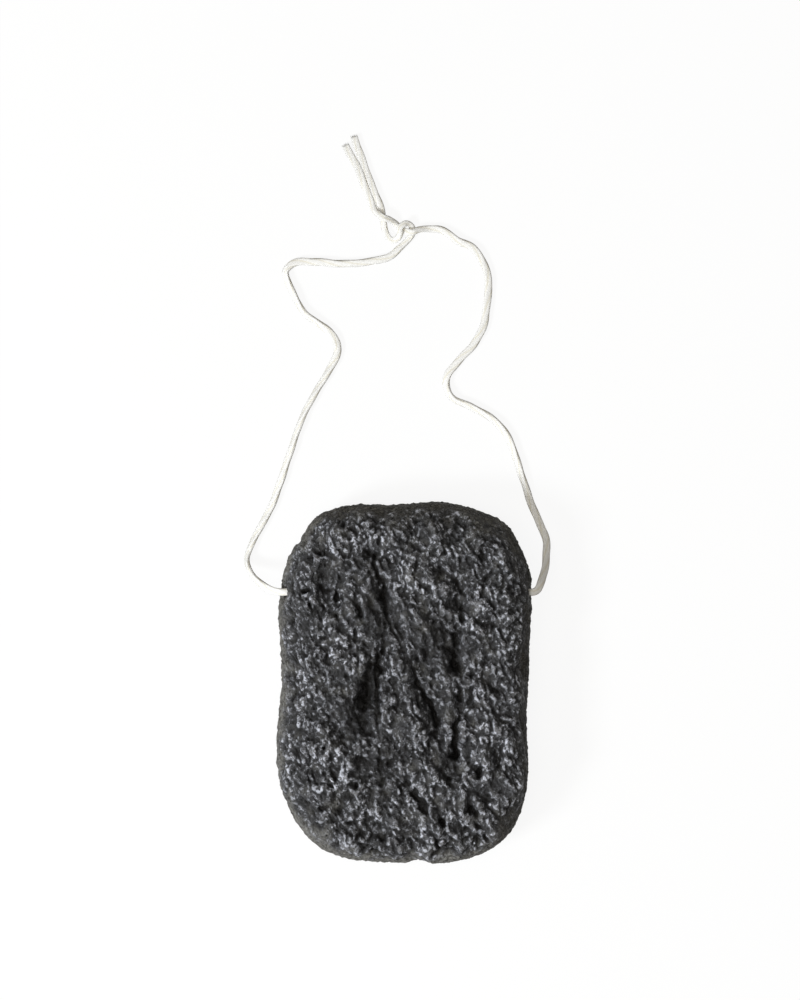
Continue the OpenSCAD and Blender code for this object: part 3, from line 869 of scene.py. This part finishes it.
def build_sponge(s):
    """The crumpled sponge, with the shares that its material reads."""
    points, faces, down = smooth_sponge(s)
    thing = mesh_object("sponge_foam", points, faces)
    normals = mesh_normals(thing)
    left = part_of_face(points, 0, -1, LEFT_PART)
    wavering = down - LEFT_LATER * left + RIM_WAVER * noise_at(points, RIM_WAVES, RIM)
    side = between(wavering, *SIDE_BEGINS)
    calm = np.maximum(between(wavering, *CRUMPLE_ENDS), between(down, *LAST_CRUMPLE_ENDS))
    under = between(down, *GRAIN_ENDS)
    above = 1 - between(down, *FORMS_END)
    crease = above * creases_at(points, s)
    deep = grooves_at(points) * (1 - between(down, *GROOVES_END))
    mouths = string_mouths(points)
    relief = (1 - calm) * crumple(points, s) + (1 - under) * side_grain(points, s)
    height = relief - deep - mouths
    forms = above * (mounds_at(points, s) + swells_at(points, s)) - crease
    points = points + normals * (height + forms)[:, None]
    height += FORMS_SHARE * forms
    points[:, 2] = np.maximum(points[:, 2], 0)
    move_points(thing, points)
    # Painted shade, deeper where the grooves, the creases and the string's holes are deeper
    dark = deep / DARK_GROOVE + crease / DARK_CREASE + mouths / DARK_MOUTH
    set_share(thing, "side", side)
    set_share(thing, "shade", shade_of_sides(points))
    set_share(thing, "tone", tones_at(points, s))
    set_share(thing, "recess_shade", np.clip(dark, 0, 1))
    for name, rounds, rise in (("crest", CREST_ROUNDS, CREST_HEIGHT), ("knob", KNOB_ROUNDS, KNOB_RISE)):
        over = height - near_average(thing, height, rounds)
        set_share(thing, name, np.clip(0.5 + over / rise, 0, 1))
    return thing


# The string's tape

def tape_line(strand, steps):
    """The strand's centreline in metres, and the roll at each of its points."""
    places = [(x, y, lift) for x, y, lift, roll in strand]
    rolls = [roll for x, y, lift, roll in strand]
    low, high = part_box("string_threaded_run")
    line = smooth_line(places, steps) * MM
    line[:, 2] += (high.z - low.z) / 2
    ends = np.linspace(0, len(rolls) - 1, len(line))
    return line, np.radians(np.interp(ends, np.arange(len(rolls)), rolls)), ends


def tape_ring(width, thick, power):
    """Points evenly round the string's flat section: oval at a power of 1, squarer below it."""
    turn = np.linspace(0, 2 * math.pi, CURVE_POINTS)
    x = width / 2 * np.sign(np.cos(turn)) * np.abs(np.cos(turn)) ** power
    y = thick / 2 * np.sign(np.sin(turn)) * np.abs(np.sin(turn)) ** power
    return spaced_evenly(np.column_stack([x, y]), TAPE_SIDES)[:-1]


def tape(name, strand, tight, s):
    """One strand of the flat string, with its plies and its frayed end."""
    line, rolls, at = tape_line(strand, TAPE_STEPS)
    ahead = np.gradient(line, axis=0)
    ahead /= np.linalg.norm(ahead, axis=1)[:, None]
    along = np.concatenate([[0], np.cumsum(np.linalg.norm(np.diff(line, axis=0), axis=1))])
    left = np.cross(UP, ahead)
    left /= np.linalg.norm(left, axis=1)[:, None]
    up = np.cross(ahead, left)
    start, end = tight
    squeeze = between(at, start - TIGHT_FADE, start) * (1 - between(at, end, end + TIGHT_FADE))
    loose = between(at - end, *TAIL_LOOSENS)
    turn = 2 * math.pi * np.arange(TAPE_SIDES) / TAPE_SIDES
    rows, plies, fibres = [], [], []
    for k in range(len(line)):
        uneven = 1 + UNEVEN * noise.noise((along[k] / UNEVEN_EVERY, *UNEVEN_PLACE))
        ring = tape_ring(
            s.width * (1 - TIGHT_NARROWER * squeeze[k]) * uneven,
            s.thickness * (1 - TIGHT_THINNER * squeeze[k] - TAIL_THINNER * loose[k]),
            STRING_EDGE + (TAIL_EDGE - STRING_EDGE) * loose[k])
        ply = np.cos(s.plies * turn + 2 * math.pi * s.plies * along[k] / s.ply_lay)
        ring *= (1 + s.ply_height * (ply - 1) / s.thickness)[:, None]
        face = up[k] * math.cos(rolls[k]) + left[k] * math.sin(rolls[k])
        edge = -left[k] * math.cos(rolls[k]) + up[k] * math.sin(rolls[k])
        around = ring[:, :1] * edge + ring[:, 1:] * face
        centre = line[k].copy()
        centre[2] += max(0.0, -(centre[2] + around[:, 2].min()))
        rows.append(centre + around)
        plies.append(0.5 + 0.5 * ply)
        fibres.append(np.column_stack([ring, np.full(TAPE_SIDES, along[k] * FIBRE_DRAW)]))
    points = np.concatenate(rows)
    faces = []
    for k in range(len(rows) - 1):
        for i in range(TAPE_SIDES):
            a, b = k * TAPE_SIDES + i, k * TAPE_SIDES + (i + 1) % TAPE_SIDES
            faces.append((a, b, b + TAPE_SIDES, a + TAPE_SIDES))
    last = (len(rows) - 1) * TAPE_SIDES
    faces.append(tuple(range(TAPE_SIDES))[::-1])
    faces.append(tuple(last + i for i in range(TAPE_SIDES)))
    frayed, frayed_faces = loose_fibres(rows[-1], ahead[-1], len(points))
    thing = mesh_object(name, np.concatenate([points, frayed]), faces + frayed_faces)
    set_share(thing, "ply", np.concatenate([*plies, np.full(len(frayed), FIBRE_PALENESS)]))
    layer = thing.data.attributes.new("fibre", "FLOAT_VECTOR", "POINT")
    layer.data.foreach_set("vector", np.concatenate([*fibres, frayed]).astype(np.float32).ravel())
    return thing, line, along[-1]


def loose_fibres(end_ring, ahead, count):
    """The short loose fibres of the cut end: their points, and faces numbered from this count."""
    spots = np.random.default_rng(FIBRE_SEED)
    middle = end_ring.mean(0)
    across = np.cross(ahead, UP)
    points, faces = [], []
    for _ in range(FIBRES):
        edge = end_ring[spots.integers(len(end_ring))]
        root = middle + (edge - middle) * math.sqrt(spots.random()) * FIBRE_EDGE
        lean = (root - middle) * spots.uniform(*FIBRE_SPREAD) + spots.normal(0, FIBRE_STRAY, 3)
        reach = spots.uniform(*FIBRE_LENGTH) * MM
        radius = spots.uniform(*FIBRE_RADIUS) * MM
        base = root - ahead * FIBRE_ROOT
        for t in FIBRE_RINGS:
            centre = base + ahead * (reach + FIBRE_ROOT) * t + lean * t * t
            centre[2] = max(centre[2], radius)
            for i in range(FIBRE_SIDES):
                turn = 2 * math.pi * i / FIBRE_SIDES
                out = across * math.cos(turn) + np.array(UP) * math.sin(turn)
                points.append(centre + out * radius * (1 - FIBRE_TAPER * t))
        root_ring = range(count, count + FIBRE_SIDES)
        for _ in FIBRE_RINGS[1:]:
            for i in range(FIBRE_SIDES):
                a, b = count + i, count + (i + 1) % FIBRE_SIDES
                faces.append((a, b, b + FIBRE_SIDES, a + FIBRE_SIDES))
            count += FIBRE_SIDES
        faces.append(tuple(range(count, count + FIBRE_SIDES)))
        faces.append(tuple(root_ring)[::-1])
        count += FIBRE_SIDES
    return np.array(points), faces


# Materials

class Shader:
    """The nodes of a material or of the surroundings, under construction."""

    def __init__(self, owner):
        owner.use_nodes = True
        self.owner = owner
        self.tree = owner.node_tree
        self.tree.nodes.clear()

    def add(self, kind, **settings):
        """A new node with these settings."""
        made = self.tree.nodes.new(kind)
        for key, value in settings.items():
            setattr(made, key, value)
        return made

    def join(self, out, into):
        """Link one node's output to another's input."""
        self.tree.links.new(out, into)

    def share(self, name):
        """The numbers kept in the mesh under this name."""
        return self.add("ShaderNodeAttribute", attribute_name=name).outputs["Fac"]

    def places(self, name):
        """The places kept in the mesh under this name."""
        return self.add("ShaderNodeAttribute", attribute_name=name).outputs["Vector"]

    def leaning_places(self, lean, stretch):
        """Places on the object, drawn together along a line that leans from the Y axis."""
        turned = self.add("ShaderNodeMapping", vector_type="TEXTURE")
        self.join(self.add("ShaderNodeTexCoord").outputs["Object"], turned.inputs["Vector"])
        turned.inputs["Rotation"].default_value = (0, 0, lean)
        turned.inputs["Scale"].default_value = (1, stretch, 1)
        return turned.outputs[0]

    def speckle(self, places, size, detail=2.0, roughness=0.55, distortion=0.0):
        """Noise whose features are this many metres apart."""
        made = self.add("ShaderNodeTexNoise")
        self.join(places, made.inputs["Vector"])
        made.inputs["Scale"].default_value = 1 / size
        made.inputs["Detail"].default_value = detail
        made.inputs["Roughness"].default_value = roughness
        made.inputs["Distortion"].default_value = distortion
        return made.outputs["Fac"]

    def spots(self, places, size, radius):
        """1 in round spots that lie about this many metres apart, 0 between them."""
        made = self.add("ShaderNodeTexVoronoi")
        self.join(places, made.inputs["Vector"])
        made.inputs["Scale"].default_value = 1 / size
        edge = radius / size
        return self.ramp(made.outputs["Distance"], SPOT_CORE * edge, edge, 1.0, 0.0)

    def ramp(self, value, low, high, to_low=0.0, to_high=1.0):
        """From one number to another as the value goes from low to high, smoothly."""
        made = self.add("ShaderNodeMapRange", interpolation_type="SMOOTHSTEP")
        self.join(value, made.inputs["Value"])
        ends = {"From Min": low, "From Max": high, "To Min": to_low, "To Max": to_high}
        for key, number in ends.items():
            made.inputs[key].default_value = number
        return made.outputs["Result"]

    def feed(self, socket, value):
        """Give an input a node's output, a number or a colour."""
        if isinstance(value, bpy.types.NodeSocket):
            self.join(value, socket)
        elif isinstance(value, (int, float)):
            socket.default_value = value
        else:
            socket.default_value = (*value, 1)

    def maths(self, operation, *values):
        """The result of this operation on one value or two."""
        made = self.add("ShaderNodeMath", operation=operation)
        for k, value in enumerate(values):
            self.feed(made.inputs[k], value)
        return made.outputs[0]

    def product(self, first, *others):
        """All the values multiplied together."""
        for other in others:
            first = self.maths("MULTIPLY", first, other)
        return first

    def greatest(self, first, *others):
        """The greatest of the values."""
        for other in others:
            first = self.maths("MAXIMUM", first, other)
        return first

    def mix(self, share, a, b, blend="MIX"):
        """One colour where the share is 0, the other where it is 1."""
        made = self.add("ShaderNodeMix", data_type="RGBA", blend_type=blend)
        for k, value in zip(MIX_IN, (share, a, b)):
            self.feed(made.inputs[k], value)
        return made.outputs[MIX_OUT]

    def bump(self, height, distance, before=None):
        """Relief that the light falls on, which the mesh doesn't have."""
        made = self.add("ShaderNodeBump")
        self.join(height, made.inputs["Height"])
        made.inputs["Distance"].default_value = distance
        made.inputs["Strength"].default_value = 1.0
        if before is not None:
            self.join(before, made.inputs["Normal"])
        return made.outputs["Normal"]

    def blend(self, share, a, b):
        """One shader where the share is 0, the other where it is 1."""
        made = self.add("ShaderNodeMixShader")
        for k, value in enumerate((share, a, b)):
            self.feed(made.inputs[k], value)
        return made.outputs[0]

    def seen(self):
        """1 where the camera sees the thing, also in gloss or through glass, and 0 elsewhere."""
        ray = self.add("ShaderNodeLightPath").outputs
        return self.greatest(ray["Is Camera Ray"], ray["Is Glossy Ray"], ray["Is Transmission Ray"])

    def surface(self, shader, kind="ShaderNodeOutputMaterial"):
        """The material or the surroundings, finished with this shader."""
        self.join(shader, self.add(kind).inputs["Surface"])
        return self.owner


def foam_material(s):
    """Charcoal foam: the crumpled face with its painted highlights, painted light on its crests and
    painted shade in its hollows, creases and pores, and the matte sides with curled threads and painted
    shade to the right and the top.
    """
    m = Shader(bpy.data.materials.new("konjac_foam"))
    at = m.leaning_places(s.lean, PATTERN_STRETCH * s.stretch)
    side, shade, tone, crest, knob, recess_shade = (
        m.share(n) for n in ("side", "shade", "tone", "crest", "knob", "recess_shade"))

    cloudy = m.speckle(at, CLOUDS)
    # Painted light and shade in broad patches, from the face's tones: it scales the painted light on
    # the crests and the painted highlights
    painted_light = m.ramp(tone, *PAINTED_LIGHT_LEVELS)
    # Painted shade where a point lies below its neighbours, and painted light on the crests above them
    base = m.mix(m.ramp(crest, *HOLLOW_TO_FACE), s.recess_shade_colour, s.face_colour)
    pale = m.product(m.ramp(crest, *FACE_TO_CREST), m.ramp(cloudy, *CREST_CLOUDS), painted_light)
    base = m.mix(pale, base, s.crest_painted_light_colour)
    # Painted highlights: pale bluish flecks on the crests and knobs, where the lamps' glints fall
    specks = m.speckle(at, SPECKS, roughness=0.6, distortion=0.6)
    glints = m.speckle(at, GLINTS, distortion=0.5)
    painted_highlight = m.product(
        m.greatest(m.ramp(specks, *HIGHLIGHT_SPECKS), m.ramp(glints, *HIGHLIGHT_GLINTS)),
        m.ramp(crest, *HIGHLIGHT_CRESTS), m.ramp(knob, *HIGHLIGHT_KNOBS), painted_light, m.ramp(cloudy, *HIGHLIGHT_CLOUDS))
    face = m.mix(painted_highlight, base, s.painted_highlight_colour)

    mottle = m.ramp(m.speckle(at, MOTTLE, detail=3, roughness=0.7), *MOTTLE_LEVELS)
    curls = m.maths("SUBTRACT", m.speckle(at, CURLS, detail=1, distortion=0.8), 0.5)
    threads = m.product(
        m.ramp(m.maths("ABSOLUTE", curls), *CURL_EDGES),
        m.ramp(m.speckle(at, CURL_GAPS), *CURLS_BETWEEN_GAPS),
        m.ramp(shade, *THREADS_IN_SHADE))
    # Painted shade: the sides are painted darker to the right and the top, with fewer threads there
    band = m.mix(shade, s.side_colour, s.painted_shade_side_colour)
    band = m.mix(1.0, band, m.mix(mottle, MOTTLE_DARK, MOTTLE_PALE), "MULTIPLY")
    band = m.mix(threads, band, s.thread_colour)

    # Painted shade in the pores, and in the creases, grooves and string holes from the mesh's share
    pores = m.product(m.spots(at, PORES, PORE_RADIUS), PORE_DARKNESS)
    colour = m.mix(m.greatest(recess_shade, pores), m.mix(side, face, band), s.recess_shade_colour)
    rough = m.greatest(m.ramp(m.speckle(at, SHINE), *SHINE_LEVELS), m.ramp(side, *MATTE_SIDES))
    coarse = m.bump(m.speckle(at, COARSE_BUMPS, detail=3, distortion=0.4), COARSE_RISE)
    fine = m.bump(m.speckle(at, FINE_BUMPS, distortion=0.4), FINE_RISE, before=coarse)
    skin = m.add("ShaderNodeBsdfPrincipled")
    m.join(colour, skin.inputs["Base Color"])
    m.join(rough, skin.inputs["Roughness"])
    m.join(fine, skin.inputs["Normal"])
    skin.inputs["Specular IOR Level"].default_value = FOAM_GLOSS
    return m.surface(skin.outputs[0])


def cotton_material(s):
    """Soft cotton that lets a little light through, with painted shade between its plies and among its
    fibres.
    """
    m = Shader(bpy.data.materials.new("cotton"))
    strands = m.speckle(m.places("fibre"), STRANDS, detail=3, roughness=0.6)
    # Painted shade between the plies and among the fibres
    colour = m.mix(m.ramp(m.share("ply"), *PLY_GROOVES), s.painted_groove_shade_colour, s.colour)
    colour = m.mix(m.ramp(strands, *STRANDS_SHOW), colour, s.painted_groove_shade_colour)
    cloth = m.add("ShaderNodeBsdfPrincipled")
    m.join(colour, cloth.inputs["Base Color"])
    m.join(m.bump(strands, STRANDS_RISE), cloth.inputs["Normal"])
    cloth.inputs["Roughness"].default_value = COTTON_ROUGHNESS
    cloth.inputs["Specular IOR Level"].default_value = COTTON_GLOSS
    cloth.inputs["Subsurface Weight"].default_value = COTTON_SCATTER
    cloth.inputs["Subsurface Radius"].default_value = (1.0, 1.0, 1.0)
    cloth.inputs["Subsurface Scale"].default_value = SCATTER_REACH
    return m.surface(cloth.outputs[0])


def floor_material(s):
    """White where it is seen, so that only the object's shadow shows on it."""
    m = Shader(bpy.data.materials.new("studio_floor"))
    seen = m.seen()
    paper = m.add("ShaderNodeBsdfDiffuse")
    m.join(m.mix(seen, s.floor_colour, FLOOR_WHITE), paper.inputs["Color"])
    glow = m.add("ShaderNodeEmission")
    return m.surface(m.blend(m.product(seen, GLOW_SHARE), paper.outputs[0], glow.outputs[0]))


# Operators

class KONJAC_OT_sponge(bpy.types.Operator):
    """Build the crumpled sponge in place of its plain solid"""

    bl_idname = "konjac.sponge"
    bl_label = "Sponge"

    def execute(self, context):
        s = context.scene.konjac_sponge
        sponge = build_sponge(s)
        sponge.data.materials.append(foam_material(s))
        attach(sponge, "sponge_body")
        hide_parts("sponge")
        return {"FINISHED"}


class KONJAC_OT_string(bpy.types.Operator):
    """Build the two free strands of the string, and finish the stretch in the channel"""

    bl_idname = "konjac.string"
    bl_label = "String"

    def execute(self, context):
        s = context.scene.konjac_string
        cotton = cotton_material(s)
        low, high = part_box("string_threaded_run")
        strands = (
            ("left_strand", LEFT_STRAND, LEFT_TIGHT, low.x - MOUTH_GAP,
             ("string_left_side", "string_knot", "string_long_tail")),
            ("right_strand", RIGHT_STRAND, RIGHT_TIGHT, high.x + MOUTH_GAP,
             ("string_right_side", "string_knot", "string_short_tail")),
        )
        for name, strand, tight, mouth, nodes in strands:
            piece, line, length = tape(name, strand, tight, s)
            piece.data.materials.append(cotton)
            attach(piece, "string_loop")
            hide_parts(*nodes)
        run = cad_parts["string_threaded_run"]
        run.data.materials.clear()
        run.data.materials.append(cotton)
        return {"FINISHED"}


class KONJAC_OT_studio(bpy.types.Operator):
    """Add the floor, the lamps, the surroundings and the camera"""

    bl_idname = "konjac.studio"
    bl_label = "Studio"

    def execute(self, context):
        s = context.scene.konjac_studio
        centre = Vector(((CAD_LOW.x + CAD_HIGH.x) / 2, (CAD_LOW.y + CAD_HIGH.y) / 2, 0))
        floor = mesh_object(
            "floor",
            [(centre.x + x * FLOOR_HALF, centre.y + y * FLOOR_HALF, -FLOOR_DROP)
             for x, y in ((-1, -1), (1, -1), (1, 1), (-1, 1))],
            [(0, 1, 2, 3)])
        floor.data.materials.append(floor_material(s))
        flat = Vector((math.cos(s.key_from), math.sin(s.key_from), 0))
        key = flat * math.cos(s.key_rise) + UP * math.sin(s.key_rise)
        top = flat * math.sin(s.top_lean) + UP * math.cos(s.top_lean)
        lamp("key_lamp", centre + key * KEY_DISTANCE, centre, KEY_SIZE, s.key_light, s.key_colour)
        lamp("top_lamp", centre + top * TOP_DISTANCE, centre, TOP_SIZE, s.top_light, s.fill_colour)
        surroundings(context, s)
        camera(context, s)
        return {"FINISHED"}


def lamp(name, place, target, size, brightness, colour):
    """A square lamp that gives a white surface facing it this brightness."""
    data = bpy.data.lights.new(name, "AREA")
    data.shape = "SQUARE"
    data.size = size
    data.color = colour
    data.energy = brightness * math.pi * math.pi * (place - target).length_squared
    thing = scene_object(name, data)
    thing.location = place
    thing.rotation_mode = "QUATERNION"
    thing.rotation_quaternion = (target - place).to_track_quat("-Z", "Y")
    thing.visible_camera = False


def surroundings(context, s):
    """Plain light from all round, behind a white backdrop."""
    world = bpy.data.worlds.new("surroundings")
    context.scene.world = world
    m = Shader(world)
    fill = m.add("ShaderNodeBackground")
    m.feed(fill.inputs["Color"], s.fill_colour)
    m.feed(fill.inputs["Strength"], s.sky_light)
    white = m.add("ShaderNodeBackground")
    m.feed(white.inputs["Color"], (1, 1, 1))
    m.surface(m.blend(m.seen(), fill.outputs[0], white.outputs[0]), "ShaderNodeOutputWorld")


def camera(context, s):
    """A camera that looks straight down, and plain colours in the picture."""
    data = bpy.data.cameras.new("camera")
    data.lens = data.sensor_width * s.camera_height / s.view_height
    data.clip_start = CLIP_START
    thing = scene_object("camera", data)
    thing.location = (s.view_centre[0], s.view_centre[1], s.camera_height)
    context.scene.camera = thing
    context.scene.view_settings.view_transform = "Standard"


class KONJAC_PT_panel(bpy.types.Panel):
    """Lists the sizes, the colours and the steps that build the scene"""

    bl_idname = "KONJAC_PT_panel"
    bl_label = "Konjac sponge"
    bl_space_type = "VIEW_3D"
    bl_region_type = "UI"
    bl_category = "Konjac sponge"

    def draw(self, context):
        groups = (
            (context.scene.konjac_sponge, KONJAC_OT_sponge),
            (context.scene.konjac_string, KONJAC_OT_string),
            (context.scene.konjac_studio, KONJAC_OT_studio),
        )
        for settings, operator in groups:
            box = self.layout.box()
            for key in settings.bl_rna.properties.keys():
                if key not in ("rna_type", "name"):
                    box.prop(settings, key)
            box.operator(operator.bl_idname)


CLASSES = (
    SpongeSettings, StringSettings, StudioSettings,
    KONJAC_OT_sponge, KONJAC_OT_string, KONJAC_OT_studio, KONJAC_PT_panel,
)


def register():
    for made in CLASSES:
        bpy.utils.register_class(made)
    bpy.types.Scene.konjac_sponge = PointerProperty(type=SpongeSettings)
    bpy.types.Scene.konjac_string = PointerProperty(type=StringSettings)
    bpy.types.Scene.konjac_studio = PointerProperty(type=StudioSettings)


def unregister():
    del bpy.types.Scene.konjac_sponge
    del bpy.types.Scene.konjac_string
    del bpy.types.Scene.konjac_studio
    for made in reversed(CLASSES):
        bpy.utils.unregister_class(made)


def main():
    """Register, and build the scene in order."""
    register()
    bpy.ops.konjac.studio()
    bpy.ops.konjac.string()
    bpy.ops.konjac.sponge()


if __name__ == "__main__":
    main()
